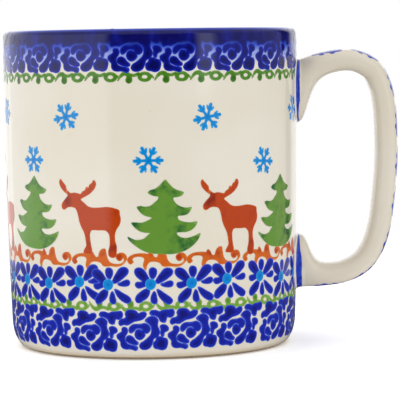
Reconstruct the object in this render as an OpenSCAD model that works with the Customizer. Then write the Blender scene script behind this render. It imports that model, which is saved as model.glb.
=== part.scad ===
// Stoneware mug: thrown body, cast strap handle, slip joints and fired glaze coats.
// Millimetres. +Z up, origin on the body's axis at the plane the foot ring stands on.
// The handle points along +X.

/* [Body] */
// Outside diameter of the glazed body at the rim
body_d = 86; // [70:1:110]
// Height of the mug from the table to the top of the lip
body_h = 92.5; // [75:0.5:125]
// Wall thickness with both glaze coats
wall_t = 4.4; // [3.2:0.1:6]
// Height of the glazed cup floor above the table
floor_h = 7.5; // [6:0.5:12]
// Height of the straight upper part of the wall
straight_h = 20.5; // [12:0.5:42]
// How far the wall draws in between the straight part and the heel
belly_in = 1.25; // [0.5:0.05:5]
// Height of the rounded lip
lip_h = 1.8; // [1.5:0.1:2.2]
// Inside radius between the wall and the floor
cove_r = 10; // [5:0.5:16]

/* [Foot] */
// Height of the rounded heel
heel_h = 8; // [6:0.5:12]
// How far the heel turns in to the foot ring
heel_in = 3.7; // [2:0.1:6]
// Width of the foot ring's standing face
foot_w = 4; // [2.5:0.1:6]
// Depth of the recess inside the foot ring
recess_h = 2; // [1.2:0.1:2.5]
// Slope of the recess wall, as run-in over its depth
recess_run = 1; // [0.3:0.1:2]
// Height of the bare band that is wiped clean of glaze above the table
bare_h = 0.8; // [0.4:0.1:2]

/* [Glaze] */
// Thickness of each glaze coat
glaze_t = 0.3; // [0.2:0.05:0.6]
// Height of the cobalt band below the top of the lip, outside
band_out = 4; // [2.5:0.5:10]
// Height of the cobalt band below the top of the lip, inside
band_in = 2.6; // [2.2:0.1:8]

/* [Handle] */
// How far the glazed strap stands out from the wall
handle_reach = 29.5; // [24:0.1:40]
// Drop from the lip to the highest point of the strap
handle_drop = 6.6; // [4:0.1:12]
// Height of the strap's lowest point above the table
handle_rise = 16; // [12:0.2:24]
// Width of the glazed strap
strap_w = 15; // [12:0.5:20]
// Thickness of the glazed strap
strap_t = 6.2; // [5:0.1:8]
// How much thicker the strap is at the grip, where it stands furthest from the wall
grip_extra = 0.6; // [0:0.1:1.5]
// Height of the strap where it meets the wall at the top
upper_joint_h = 18.3; // [14:0.1:22]
// Height of the strap where it meets the wall at the bottom
lower_joint_h = 15.6; // [12:0.2:18]
// How much wider the strap is at both joints
joint_spread = 1.6; // [0:0.1:4]
// Distance from the wall at which the strap's flare towards a joint has shrunk to a half
flare_l = 3.7; // [2:0.1:6]
// How abruptly that flare ends
flare_power = 3.5; // [2:0.5:5]
// Thickness of the slip that lutes the handle on
slip_t = 0.4; // [0.35:0.05:0.8]
// Width of the slip bead that shows round the handle's ends
slip_bead = 0.7; // [0.5:0.1:1.5]

/* [Hidden] */
$fn = 180;

body_r = body_d / 2;
belly_h = body_h - straight_h;
// The belly is one large arc that leaves the straight wall without a corner
belly_r = ((belly_h - heel_h) ^ 2 + belly_in ^ 2) / (2 * belly_in);
cove_h = floor_h + cove_r;
heel_r = belly(heel_h);
foot_out_r = heel_r - heel_in - glaze_t;
foot_in_r = foot_out_r - foot_w;
// How far round the heel the glaze goes before it is wiped off
bare_angle = asin(1 - bare_h / heel_h);
recess_r = foot_in_r - recess_run;
// Points along each curved stretch of the wall's section
arc_steps = 8;
// The handle's outer face in its own plane, top joint to bottom joint:
// share of the reach from the wall, share of the height between lowest and highest point
strap_outline = [[0, 0.957], [0.2, 0.984], [0.44, 1], [0.63, 0.993], [0.827, 0.947], [0.938, 0.862],
    [0.985, 0.765], [1, 0.645], [0.997, 0.516], [0.967, 0.378], [0.926, 0.258], [0.84, 0.148],
    [0.702, 0.069], [0.495, 0.022], [0.246, 0.005], [0, 0]];
strap_low = handle_rise;
strap_high = body_h - handle_drop;
// Rings on each free stretch of the strap and on the two stretches that join the wall,
// points round a ring, and how square the ring is
ring_steps = 3;
joint_steps = 8;
ring_points = 20;
ring_power = 2.5;
// Share of the ring's size at each step of the closed ends
end_shares = [0.12, 0.56];

// Radius of the glazed wall at height z, above the heel and below the lip
function belly(z) = z >= belly_h ? body_r : body_r - belly_r + sqrt(belly_r ^ 2 - (belly_h - z) ^ 2);

// Radius of the clay wall at height z
function clay_r(z) = belly(z) - glaze_t;

// The section's stretches, each running on from the one before it.
// inset is 0 on the glazed face and glaze_t on the clay face under it.
function heel(inset) = [for (i = [arc_steps:-1:1])
    let (a = bare_angle * i / arc_steps, z = heel_h * (1 - sin(a)))
    [belly(z) - heel_in * (1 - cos(a)) - inset, z]];
function outer_wall(inset) = concat(
    [for (i = [0:arc_steps]) let (z = heel_h + (belly_h - heel_h) * i / arc_steps)
        [belly(z) - inset, z]],
    [[body_r - inset, body_h - band_out]]);
function lip(inset) = [for (i = [0:2 * arc_steps]) let (a = 90 * i / arc_steps)
    [body_r - wall_t / 2 + (wall_t / 2 - inset) * cos(a), body_h - lip_h + (lip_h - inset) * sin(a)]];
function inner_wall(inset) = concat(
    [[body_r - wall_t + inset, body_h - band_in]],
    [for (i = [arc_steps:-1:0]) let (z = cove_h + (belly_h - cove_h) * i / arc_steps)
        [belly(z) - wall_t + inset, z]]);
function cove(inset) = [for (i = [1:arc_steps]) let (a = -90 * i / arc_steps)
    [belly(cove_h) - wall_t - cove_r + (cove_r + inset) * cos(a), cove_h + (cove_r + inset) * sin(a)]];
function cup_floor(inset) = [[0, floor_h - inset]];

function reversed(list) = [for (i = [len(list) - 1:-1:0]) list[i]];
function first(list) = list[0];
function last(list) = list[len(list) - 1];

// A point on the strap's outer face, at s from 0 to the number of stretches
function outline_at(i) = strap_outline[max(0, min(len(strap_outline) - 1, i))];
function spline(a, b, c, d, t) =
    0.5 * (2 * b + (c - a) * t + (2 * a - 5 * b + 4 * c - d) * t ^ 2 + (3 * b - a - 3 * c + d) * t ^ 3);
function strap_share(s) = let (i = min(floor(s), len(strap_outline) - 2))
    spline(outline_at(i - 1), outline_at(i), outline_at(i + 1), outline_at(i + 2), s - i);
function strap_face(s) = let (p = strap_share(s))
    [body_r + handle_reach * p[0], strap_low + (strap_high - strap_low) * p[1]];
stretches = len(strap_outline) - 1;

// How far the outer face stands out from the wall at s
function stand_off(s) = max(0, strap_face(s)[0] - body_r);
// A bell shape: 1 at the wall, a half where the strap stands out by half_l, 0 along the free strap
function bell(s, half_l) = 1 / (1 + (stand_off(s) / half_l) ^ flare_power);
// Unit vector from the outer face into the strap. It turns upright where the strap meets the wall.
function strap_inward(s) = let (
    d = strap_face(min(s + 0.05, stretches)) - strap_face(max(s - 0.05, 0)),
    upright = [0, s < stretches / 2 ? -1 : 1],
    turn = bell(s, 2 * flare_l),
    v = (1 - turn) * [d[1], -d[0]] / norm(d) + turn * upright)
    v / norm(v);
function joint_h(s) = s < stretches / 2 ? upper_joint_h : lower_joint_h;
function thickness(s) = strap_t + grip_extra * (stand_off(s) / handle_reach) ^ 2
    + (joint_h(s) - strap_t) * bell(s, flare_l);
function width(s) = strap_w + joint_spread * bell(s, flare_l);
function centre(s) = strap_face(s) + strap_inward(s) * thickness(s) / 2;

// A rounded ring across the strap at s. inset is measured as for the wall.
function rounded(c) = sign(c) * abs(c) ^ (2 / ring_power);
function ring(s, inset, share = 1) = [for (k = [0:ring_points - 1]) let (
    a = 360 * k / ring_points,
    p = centre(s) - strap_inward(s) * share * (thickness(s) / 2 - inset) * rounded(sin(a)))
    [p[0], share * (width(s) / 2 - inset) * rounded(cos(a)), p[1]]];
// The same ring pushed along X onto the face of the slip
function seated(points) = [for (p = points)
    [sqrt((clay_r(p[2]) + slip_t) ^ 2 - p[1] ^ 2), p[1], p[2]]];
ring_places = concat(
    [for (i = [1:joint_steps - 1]) i / joint_steps],
    [for (i = [ring_steps:(stretches - 1) * ring_steps]) i / ring_steps],
    [for (i = [joint_steps - 1:-1:1]) stretches - i / joint_steps]);
function strap_rings(inset) = concat(
    [seated(ring(0, inset))], [for (s = ring_places) ring(s, inset)], [seated(ring(stretches, inset))]);
function flat(lists) = [for (l = lists) for (p = l) p];
// Quads from each ring to the next; a wrapped skin also joins the last ring to the first
function skin(rings, wrap) = let (n = len(rings), m = len(rings[0]))
    [for (i = [0:n - (wrap ? 1 : 2)]) for (k = [0:m - 1]) let (j = (i + 1) % n, l = (k + 1) % m)
        [i * m + k, i * m + l, j * m + l, j * m + k]];

module revolved(section) rotate_extrude() polygon(section);

// One coat: along its outer face, then back along the clay under it
module coat(face, clay) revolved(concat(face, reversed(clay)));

// The outline of one slip joint, drawn through everything along X
module joint_outline(s) {
    c = centre(s);
    h = thickness(s) / 2 * abs(strap_inward(s)[1]) + slip_bead;
    w = width(s) / 2 + slip_bead;
    translate([body_r / 2, 0, c[1]]) rotate([90, 0, 90]) linear_extrude(body_r)
        polygon([for (k = [0:2 * ring_points - 1]) let (a = 180 * k / ring_points)
            [w * rounded(cos(a)), h * rounded(sin(a))]]);
}

module slip(s) intersection() {
    coat([for (p = outer_wall(glaze_t)) p + [slip_t, 0]], outer_wall(glaze_t));
    joint_outline(s);
}

module stoneware_body() color("tan") revolved(concat(
    [[0, recess_h], [recess_r, recess_h], [foot_in_r, 0], [foot_out_r, 0]],
    heel(glaze_t), outer_wall(glaze_t), lip(glaze_t), inner_wall(glaze_t), cove(glaze_t),
    cup_floor(glaze_t)));

module handle() color("tan") {
    top = [for (share = end_shares) seated(ring(0, glaze_t, share))];
    bottom = [for (share = reversed(end_shares)) seated(ring(stretches, glaze_t, share))];
    rings = concat(top, strap_rings(glaze_t), bottom);
    points = flat(rings);
    polyhedron(points, concat(
        skin(rings, false),
        [[for (k = [ring_points - 1:-1:0]) k]],
        [[for (k = [0:ring_points - 1]) len(points) - ring_points + k]]));
}

module upper_handle_slip() color("wheat") slip(0);

module lower_handle_slip() color("wheat") slip(stretches);

module outside_glaze() color("ivory") difference() {
    coat(concat(heel(0), outer_wall(0)), concat(heel(glaze_t), outer_wall(glaze_t)));
    joint_outline(0);
    joint_outline(stretches);
}

module liner_glaze() color("white") coat(
    concat(inner_wall(0), cove(0), cup_floor(0)),
    concat(inner_wall(glaze_t), cove(glaze_t), cup_floor(glaze_t)));

module underside_glaze() color("white")
    translate([0, 0, recess_h - glaze_t]) cylinder(h = glaze_t, r = recess_r);

module handle_glaze() color("ivory") {
    rings = concat(strap_rings(0), reversed(strap_rings(glaze_t)));
    polyhedron(flat(rings), skin(rings, true));
}

module rim_band() color("midnightblue") coat(
    concat([last(outer_wall(0))], lip(0), [first(inner_wall(0))]),
    concat([last(outer_wall(glaze_t))], lip(glaze_t), [first(inner_wall(glaze_t))]));

stoneware_body();
handle();
upper_handle_slip();
lower_handle_slip();
outside_glaze();
liner_glaze();
underside_glaze();
handle_glaze();
rim_band();
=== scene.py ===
# %% [markdown]
# # A hand-stamped stoneware mug
# A mug like this is thrown in one piece, gets a cast strap handle, is decorated on the dry clay with
# sponge stamps and brushes, and is then dipped in clear glaze and fired. The lesson follows that
# order: throw the body, put the handle on, cut the stamps, print them round the wall, light it.
# Every length is in millimetres until a mesh is made, where `MM` turns it into metres.

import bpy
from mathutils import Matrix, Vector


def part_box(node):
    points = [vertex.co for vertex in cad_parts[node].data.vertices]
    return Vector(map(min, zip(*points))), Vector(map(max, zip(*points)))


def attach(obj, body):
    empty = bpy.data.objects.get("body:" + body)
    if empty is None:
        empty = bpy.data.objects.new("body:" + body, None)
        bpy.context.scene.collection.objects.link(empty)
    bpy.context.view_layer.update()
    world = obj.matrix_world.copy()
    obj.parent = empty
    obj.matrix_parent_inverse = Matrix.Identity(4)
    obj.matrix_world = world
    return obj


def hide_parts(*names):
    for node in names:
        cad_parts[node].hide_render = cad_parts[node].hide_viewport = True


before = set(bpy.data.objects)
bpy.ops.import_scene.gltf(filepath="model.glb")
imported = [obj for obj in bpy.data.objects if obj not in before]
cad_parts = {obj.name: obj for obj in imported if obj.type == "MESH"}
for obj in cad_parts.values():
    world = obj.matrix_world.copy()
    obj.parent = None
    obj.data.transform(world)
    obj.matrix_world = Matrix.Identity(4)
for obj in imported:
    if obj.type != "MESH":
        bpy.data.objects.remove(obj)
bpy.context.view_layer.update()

# %% Tools used all the way through
import math

import bpy
import numpy as np
from mathutils import Matrix, Vector
from mathutils.geometry import delaunay_2d_cdt

MM = 0.001
scene = bpy.context.scene


def show(name, mesh):
    """Put a finished mesh in the scene as an object of its own."""
    thing = bpy.data.objects.new(name, mesh)
    scene.collection.objects.link(thing)
    return thing


def hide_away(thing):
    """Remove a helper that has done its work."""
    bpy.data.objects.remove(thing, do_unlink=True)


print("frame loaded:", ", ".join(sorted(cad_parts)))

# %% [markdown]
# ## The mug's sizes
# A potter works from a few numbers: how wide, how high, how thick, where the belly starts. All the
# other places below come from these, so the pattern still fits if one of them is changed.

# %% Driving sizes, in millimetres
BODY_R = 43.0
BODY_H = 92.5
WALL = 4.4
FLOOR_H = 7.5
BELLY_H = 72.0
BELLY_IN = 1.25
LIP_H = 1.8
COVE_R = 10.0
HEEL_H = 8.0
HEEL_IN = 3.7
FOOT_W = 4.0
RECESS_H = 2.0
BARE_H = 0.8
GLAZE = 0.3
BAND_OUT = 4.0
BAND_IN = 2.6
TURN = 2 * math.pi * BODY_R

rim_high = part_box("rim_band")[1]
print(f"rim in the frame: {rim_high.x / MM:.2f} mm radius at {rim_high.z / MM:.2f} mm, "
      f"here {BODY_R} at {BODY_H}")

# %% [markdown]
# ## The section of the wall
# The belly is one long arc that leaves the straight wall without a corner, the heel is a quarter
# of an oval, and the lip is half of one. `inset` moves a line inwards by the thickness of a coat,
# so the clay and the glaze over it come from the same few functions.

# %% Section lines
ARC = (BELLY_H - HEEL_H) ** 2 / (2 * BELLY_IN) + BELLY_IN / 2
STEPS = 28


def belly(z):
    """Radius of the glazed wall at height z."""
    return BODY_R if z >= BELLY_H else BODY_R - ARC + math.sqrt(ARC ** 2 - (BELLY_H - z) ** 2)


def heel(inset, start):
    """The turned-in heel, from the share `start` of its quarter oval up to the wall."""
    line = []
    for i in range(STEPS, 0, -1):
        a = start * i / STEPS
        z = HEEL_H * (1 - math.sin(a))
        line.append((belly(z) - HEEL_IN * (1 - math.cos(a)) - inset, z))
    return line


def outer_wall(inset):
    rows = [HEEL_H + (BELLY_H - HEEL_H) * i / STEPS for i in range(STEPS + 1)]
    rows += [BELLY_H + (BODY_H - BAND_OUT - BELLY_H) * i / 8 for i in range(1, 9)]
    return [(belly(z) - inset, z) for z in rows]


def lip(inset):
    arc = [math.pi * i / STEPS for i in range(STEPS + 1)]
    return [(BODY_R - WALL / 2 + (WALL / 2 - inset) * math.cos(a),
             BODY_H - LIP_H + (LIP_H - inset) * math.sin(a)) for a in arc]


def inner_wall(inset):
    low = FLOOR_H + COVE_R
    rows = [BODY_H - BAND_IN] + [low + (BELLY_H - low) * i / STEPS for i in range(STEPS, -1, -1)]
    return [(belly(z) - WALL + inset, z) for z in rows]


def cove_and_floor(inset):
    middle = belly(FLOOR_H + COVE_R) - WALL - COVE_R
    arc = [math.pi / 2 * i / STEPS for i in range(1, STEPS + 1)]
    line = [(middle + (COVE_R + inset) * math.cos(a),
             FLOOR_H + COVE_R - (COVE_R + inset) * math.sin(a)) for a in arc]
    return line + [(middle * (1 - i / 6), FLOOR_H - inset) for i in range(1, 7)]


BARE = math.asin(1 - BARE_H / HEEL_H)
FOOT_OUT = belly(HEEL_H) - HEEL_IN - GLAZE
FOOT_IN = FOOT_OUT - FOOT_W
FOOT_ROUND = 0.5


def foot():
    """The standing ring with softened edges, and the recess inside it, out to the heel."""
    ring = [(0.0, RECESS_H), (FOOT_IN - 1.2, RECESS_H), (FOOT_IN - 0.8, RECESS_H - 0.2)]
    ring += [(FOOT_IN + FOOT_ROUND * (1 - math.cos(a)), FOOT_ROUND * (1 - math.sin(a)))
             for a in (0.0, 0.4, 0.8, 1.2, math.pi / 2)]
    return ring + [(FOOT_OUT - 0.25, 0.0), (FOOT_OUT, 0.06)]


print(f"wall radius at the heel {belly(HEEL_H):.2f} mm, foot ring {FOOT_IN:.1f} to {FOOT_OUT:.1f} mm")

# %% [markdown]
# ## Nodes, from Python expressions
# Geometry trees and materials are both graphs of nodes, and both can hold the same Math nodes. One
# small class wraps an output socket, so that `a * b + 1` adds the nodes, and one function adds any
# other node. Reading the sums then reads like arithmetic, not like wiring.

# %% Node helpers
class Value:
    """An output socket that can be used in sums."""

    def __init__(self, socket):
        self.socket = socket

    def sum(self, operation, *numbers):
        """A Math node in this socket's tree that works on the given numbers."""
        tree = self.socket.id_data
        node = tree.nodes.new("ShaderNodeMath")
        node.operation = operation
        for slot, number in zip(node.inputs, numbers):
            plug(tree, number, slot)
        return Value(node.outputs[0])

    def __add__(self, other):
        return self.sum("ADD", self, other)

    def __radd__(self, other):
        return self.sum("ADD", other, self)

    def __sub__(self, other):
        return self.sum("SUBTRACT", self, other)

    def __rsub__(self, other):
        return self.sum("SUBTRACT", other, self)

    def __mul__(self, other):
        return self.sum("MULTIPLY", self, other)

    def __truediv__(self, other):
        return self.sum("DIVIDE", self, other)

    def __neg__(self):
        return self.sum("MULTIPLY", self, -1.0)

    def sin(self):
        return self.sum("SINE", self)

    def cos(self):
        return self.sum("COSINE", self)

    def above(self, other):
        return self.sum("GREATER_THAN", self, other)

    def without_sign(self):
        return self.sum("ABSOLUTE", self)


def plug(tree, source, socket):
    """Link a Value or a socket, or set a plain number, colour or object."""
    if isinstance(source, Value):
        source = source.socket
    if isinstance(source, bpy.types.NodeSocket):
        tree.links.new(source, socket)
    else:
        socket.default_value = source


def add(tree, kind, settings=None, inputs=None, output=0):
    """Add one node: its settings first, then its sockets. Gives back one output as a Value."""
    node = tree.nodes.new(kind)
    for key, value in (settings or {}).items():
        setattr(node, key, value)
    for key, value in (inputs or {}).items():
        plug(tree, value, node.inputs[key])
    return Value(node.outputs[output]) if len(node.outputs) else node


def smooth(value, low, high):
    """0 below low, 1 above high, with soft shoulders between."""
    tree = value.socket.id_data
    return add(tree, "ShaderNodeMapRange", {"interpolation_type": "SMOOTHSTEP"},
               {"Value": value, "From Min": low, "From Max": high})


def blend(factor, first, second):
    """One colour into another."""
    tree = factor.socket.id_data
    return add(tree, "ShaderNodeMix", {"data_type": "RGBA"}, {0: factor, 6: first, 7: second}, 2)


def split(tree, vector):
    """The three numbers of a vector."""
    node = tree.nodes.new("ShaderNodeSeparateXYZ")
    plug(tree, vector, node.inputs[0])
    return [Value(out) for out in node.outputs]


def joined(tree, x, y, z):
    return add(tree, "ShaderNodeCombineXYZ", None, {0: x, 1: y, 2: z})


def vector_sum(operation, first, second, socket=1):
    tree = first.socket.id_data
    return add(tree, "ShaderNodeVectorMath", {"operation": operation}, {0: first, socket: second})


print("node helpers ready")

# %% [markdown]
# ## Colours of the kiln
# Clear glaze lies over everything, so all paints share one gloss and one very shallow waviness,
# and only the colour under it changes. Cobalt goes light where the brush left it thin, at the rim
# of each petal, and nearly black where it pooled. A stamp's mesh therefore carries two measures at
# each point, the distance to its own outline and how much paint pooled there, and the paint reads
# them.

# %% Colour helpers
def srgb(red, green, blue):
    """A colour as an eye or a paint chart gives it, 0 to 255, in the linear light that nodes use."""
    def linear(c):
        c /= 255
        return c / 12.92 if c <= 0.04045 else ((c + 0.055) / 1.055) ** 2.4
    return (linear(red), linear(green), linear(blue), 1.0)


CREAM = srgb(221, 215, 202)
CREAM_WARM = srgb(215, 207, 188)
BISCUIT = srgb(196, 176, 146)
SPECK = srgb(150, 120, 90)
NAVY = srgb(8, 8, 86)
COBALT = srgb(20, 34, 158)
COBALT_THIN = srgb(62, 90, 200)
WASH = srgb(46, 76, 190)
HAZE = srgb(146, 160, 214)
GLAZE_IOR = 1.5
GLAZE_ROUGH = 0.07


def noise(tree, place, per_mm, detail=2.0, rough=0.5):
    """Cloudy noise with so many clouds to the millimetre."""
    return add(tree, "ShaderNodeTexNoise", None,
               {"Vector": place, "Scale": per_mm / MM, "Detail": detail, "Roughness": rough})


def object_place(tree):
    return Value(tree.nodes.new("ShaderNodeTexCoord").outputs["Object"])


def attribute(tree, name):
    return add(tree, "ShaderNodeAttribute", {"attribute_name": name}, None, "Fac")


def glaze_relief(tree, place, depth=0.05):
    """The slow waves and the fine orange peel of a dipped glaze."""
    waves = noise(tree, place, 0.10, 1.0)
    peel = noise(tree, place, 0.9, 2.0)
    height = waves * 0.8 + peel * 0.06
    return add(tree, "ShaderNodeBump", None,
               {"Strength": 0.35, "Distance": depth * MM, "Height": height})


def new_material(name):
    material = bpy.data.materials.new(name)
    material.use_nodes = True
    tree = material.node_tree
    return material, tree, tree.nodes["Principled BSDF"]


def glazed(name, paint, relief=0.05, rough=GLAZE_ROUGH):
    """A glossy glazed material. `paint` gets the tree and Object place, and gives the colour."""
    material, tree, shader = new_material(name)
    place = object_place(tree)
    plug(tree, paint(tree, place), shader.inputs["Base Color"])
    plug(tree, glaze_relief(tree, place, relief), shader.inputs["Normal"])
    cloud = noise(tree, place, 0.25, 3.0)
    plug(tree, cloud * 0.05 + (rough - 0.025), shader.inputs["Roughness"])
    shader.inputs["IOR"].default_value = GLAZE_IOR
    return material


print("colours ready")

# %% [markdown]
# ## Glaze over bare cream clay
# The ground is off-white with a warm cast that drifts slowly, a few iron specks, and a warmer tone
# low on the heel where the glaze thins towards the bare foot. Over the top row of stamps the potter
# ran a wet cobalt brush: the clay between the petals turns from cream to sky to navy within eight
# millimetres, and above that the band is nearly black.

# %% Ground colours
def height_mm(tree, place):
    return split(tree, place)[2] / MM


def cream_ground(tree, place):
    drift = smooth(noise(tree, place, 0.03, 2.0), 0.35, 0.7)
    ground = blend(drift * 0.6, CREAM, CREAM_WARM)
    fleck = smooth(noise(tree, place, 0.55, 3.0, 0.6), 0.74, 0.8)
    return blend(fleck * 0.35, ground, SPECK)


def shaded_strap_paint(tree, place):
    """The wall's cream made a little darker for the strap: painted shade."""
    return vector_sum("MULTIPLY", cream_ground(tree, place), (0.92, 0.9, 0.88))


def rim_navy(tree, place):
    """The band over the lip, mottled by the brush and lighter towards the crest."""
    streaks = vector_sum("MULTIPLY", place, (1.0, 1.0, 0.4))
    cloud = smooth(noise(tree, streaks, 0.3, 4.0), 0.45, 0.75)
    deep = blend(cloud * 0.75, NAVY, srgb(20, 28, 142))
    crest = smooth(height_mm(tree, place), 91.6, 92.4)
    return blend(crest * 0.7, deep, srgb(40, 72, 196))


def brushed_height(tree, place):
    """Height in millimetres, made uneven as a wet brush leaves it."""
    streaks = vector_sum("MULTIPLY", place, (1.0, 1.0, 0.25))
    return height_mm(tree, place) + (noise(tree, streaks, 0.35, 3.0) - 0.5) * 1.3


def wall_paint(tree, place):
    """Cream, warmer at the foot; then haze, blue wash and navy towards the rim."""
    low = 1 - smooth(height_mm(tree, place), 0.5, 2.4)
    ground = blend(low * 0.7, cream_ground(tree, place), BISCUIT)
    level = brushed_height(tree, place)
    hazy = blend(smooth(level, 81.6, 84.8), ground, HAZE)
    blue = blend(smooth(level, 85.3, 87.9), hazy, WASH)
    return blend(smooth(level, 87.7, 89.2), blue, rim_navy(tree, place))


def inside_paint(tree, place):
    """White inside, with the rim band's ragged brushed edge."""
    ragged = noise(tree, place, 0.5, 3.0) - 0.5
    level = height_mm(tree, place) + ragged * 1.2
    return blend(smooth(level, 89.3, 90.2), cream_ground(tree, place), rim_navy(tree, place))


def rim_paint(tree, place):
    """The wall's colours on the outer half of the lip and the inside's on the inner half."""
    flat = vector_sum("MULTIPLY", place, (1.0, 1.0, 0.0))
    out = add(tree, "ShaderNodeVectorMath", {"operation": "LENGTH"}, {0: flat}, "Value")
    outer_half = out.above((BODY_R - WALL / 2) * MM)
    return blend(outer_half, inside_paint(tree, place), wall_paint(tree, place))


def clay_paint(tree, place):
    grain = noise(tree, place, 1.6, 4.0, 0.7)
    clay = blend(smooth(grain, 0.3, 0.7), srgb(150, 132, 108), srgb(176, 158, 132))
    fleck = smooth(noise(tree, place, 0.8, 2.0), 0.7, 0.78)
    return blend(fleck * 0.5, clay, SPECK)


wall_glaze = glazed("cream_glaze_outside", wall_paint)
inside_glaze = glazed("cream_glaze_inside", inside_paint)
# The strap's glaze is a darker copy of the wall's cream glaze: painted shade.
shaded_strap_glaze = glazed("cream_glaze_strap_shaded", shaded_strap_paint, 0.07)
rim_glaze = glazed("cobalt_rim_glaze", rim_paint)

bare_clay, clay_tree, clay_shader = new_material("bare_stoneware")
clay_place = object_place(clay_tree)
plug(clay_tree, clay_paint(clay_tree, clay_place), clay_shader.inputs["Base Color"])
clay_grit = noise(clay_tree, clay_place, 3.0, 4.0, 0.7)
plug(clay_tree, add(clay_tree, "ShaderNodeBump", None,
                    {"Strength": 0.6, "Distance": 0.08 * MM, "Height": clay_grit}),
     clay_shader.inputs["Normal"])
clay_shader.inputs["Roughness"].default_value = 0.85
print("ground materials:", [m.name for m in bpy.data.materials])

# %% [markdown]
# ## Throwing the body
# A thrown pot is its section spun round an axis. The Screw modifier could do it, but a tree with a
# named input for the number of facets can be used for every coat: a flat grid has one row for each
# point of the section, and Set Position sends each row round the axis at that point's radius.
# Merge by Distance then closes the seam and the pole.

# %% The lathe tree
def tree_with(name, sockets):
    """A Geometry Nodes tree with named inputs. Gives the tree, its input node and its output."""
    tree = bpy.data.node_groups.new(name, "GeometryNodeTree")
    for label, kind in sockets:
        tree.interface.new_socket(label, in_out="INPUT", socket_type=kind)
    tree.interface.new_socket("Geometry", in_out="OUTPUT", socket_type="NodeSocketGeometry")
    source = tree.nodes.new("NodeGroupInput")
    return tree, source.outputs, tree.nodes.new("NodeGroupOutput").inputs[0]


def run_tree(tree, start, name, **values):
    """Run a tree on an object, with its inputs set by name, and keep the result as a mesh."""
    modifier = start.modifiers.new(tree.name, "NODES")
    modifier.node_group = tree
    for item in tree.interface.items_tree:
        if item.in_out == "INPUT" and item.name in values:
            modifier[item.identifier] = values[item.name]
    graph = bpy.context.evaluated_depsgraph_get()
    mesh = bpy.data.meshes.new_from_object(start.evaluated_get(graph))
    start.modifiers.remove(modifier)
    hide_away(start)
    mesh.name = name
    return show(name, mesh)


lathe, given, made = tree_with("Lathe", [
    ("Geometry", "NodeSocketGeometry"), ("Facets", "NodeSocketInt"), ("Material", "NodeSocketMaterial")])
rows = add(lathe, "GeometryNodeAttributeDomainSize", None, {"Geometry": given["Geometry"]}, 0)
grid = add(lathe, "GeometryNodeMeshGrid", None,
           {"Vertices X": rows, "Vertices Y": Value(given["Facets"]) + 1})
index = Value(lathe.nodes.new("GeometryNodeInputIndex").outputs[0])
across = Value(given["Facets"]) + 1
row = (index / across).sum("FLOOR", index / across)
column = index - row * across
section_point = add(lathe, "GeometryNodeSampleIndex", {"data_type": "FLOAT_VECTOR"},
                    {0: given["Geometry"], "Value": add(lathe, "GeometryNodeInputPosition"),
                     "Index": row})
radius, _, level = split(lathe, section_point)
spin = column / given["Facets"] * (2 * math.pi)
placed = add(lathe, "GeometryNodeSetPosition", None,
             {"Geometry": grid, "Position": joined(lathe, radius * spin.cos(), radius * spin.sin(),
                                                   level)})
closed = add(lathe, "GeometryNodeMergeByDistance", None, {"Geometry": placed, "Distance": 1e-7})
solid = add(lathe, "GeometryNodeRealizeInstances", None, {"Geometry": closed})
coloured = add(lathe, "GeometryNodeSetMaterial", None,
               {"Geometry": solid, "Material": given["Material"]})
plug(lathe, coloured, made)
print("lathe tree has", len(lathe.nodes), "nodes")


# %% Spin the coats
FACETS = 288
EDGE_ANGLE = math.radians(35)


def outwards(mesh):
    """Turn the faces outwards if the closed mesh came out inside out."""
    points = np.empty(len(mesh.vertices) * 3)
    mesh.vertices.foreach_get("co", points)
    points = points.reshape(-1, 3)
    mesh.calc_loop_triangles()
    corners = np.empty(len(mesh.loop_triangles) * 3, int)
    mesh.loop_triangles.foreach_get("vertices", corners)
    a, b, c = (points[corners.reshape(-1, 3)[:, k]] for k in range(3))
    volume = np.einsum("ij,ij->i", a, np.cross(b, c)).sum() / 6
    if volume < 0:
        mesh.flip_normals()
    return abs(volume)


def tidy(thing):
    """Smooth shading with true edges kept sharp. Gives the volume in cubic centimetres."""
    thing.data.shade_smooth()
    volume = outwards(thing.data)
    thing.data.set_sharp_from_angle(angle=EDGE_ANGLE)
    return volume * 1e6


def spun(name, section, material, facets=FACETS):
    """Spin a closed section, given as radius and height in millimetres."""
    ring = section + [section[0]]
    mesh = bpy.data.meshes.new(name + "_section")
    mesh.from_pydata([(r * MM, 0.0, z * MM) for r, z in ring],
                     [(i, i + 1) for i in range(len(ring) - 1)], [])
    piece = run_tree(lathe, show(name + "_section", mesh), name, Facets=facets, Material=material)
    print(f"{name}: {len(piece.data.polygons)} faces, {tidy(piece):.2f} cm3")
    return piece


def coat(face, under):
    """A coat's section: along its face, then back along the clay under it."""
    return face + under[::-1]


clay_body = spun("clay_body", foot() + heel(GLAZE, math.pi / 2)[1:] + outer_wall(GLAZE) + lip(GLAZE)
                 + inner_wall(GLAZE) + cove_and_floor(GLAZE), bare_clay)
wall_coat = spun("glazed_wall", coat(heel(0, BARE) + outer_wall(0),
                                     heel(GLAZE, BARE) + outer_wall(GLAZE)), wall_glaze)
rim_coat = spun("cobalt_rim", coat([outer_wall(0)[-1]] + lip(0) + [inner_wall(0)[0]],
                                   [outer_wall(GLAZE)[-1]] + lip(GLAZE) + [inner_wall(GLAZE)[0]]),
                rim_glaze)
liner_coat = spun("glazed_liner", coat(inner_wall(0) + cove_and_floor(0),
                                       inner_wall(GLAZE) + cove_and_floor(GLAZE)), inside_glaze)
under_coat = spun("glazed_underside", [(0.0, RECESS_H), (FOOT_IN - 1.5, RECESS_H),
                                       (FOOT_IN - 1.3, RECESS_H - 0.12),
                                       (FOOT_IN - 1.6, RECESS_H - GLAZE), (0.0, RECESS_H - GLAZE)],
                  inside_glaze)

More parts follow.
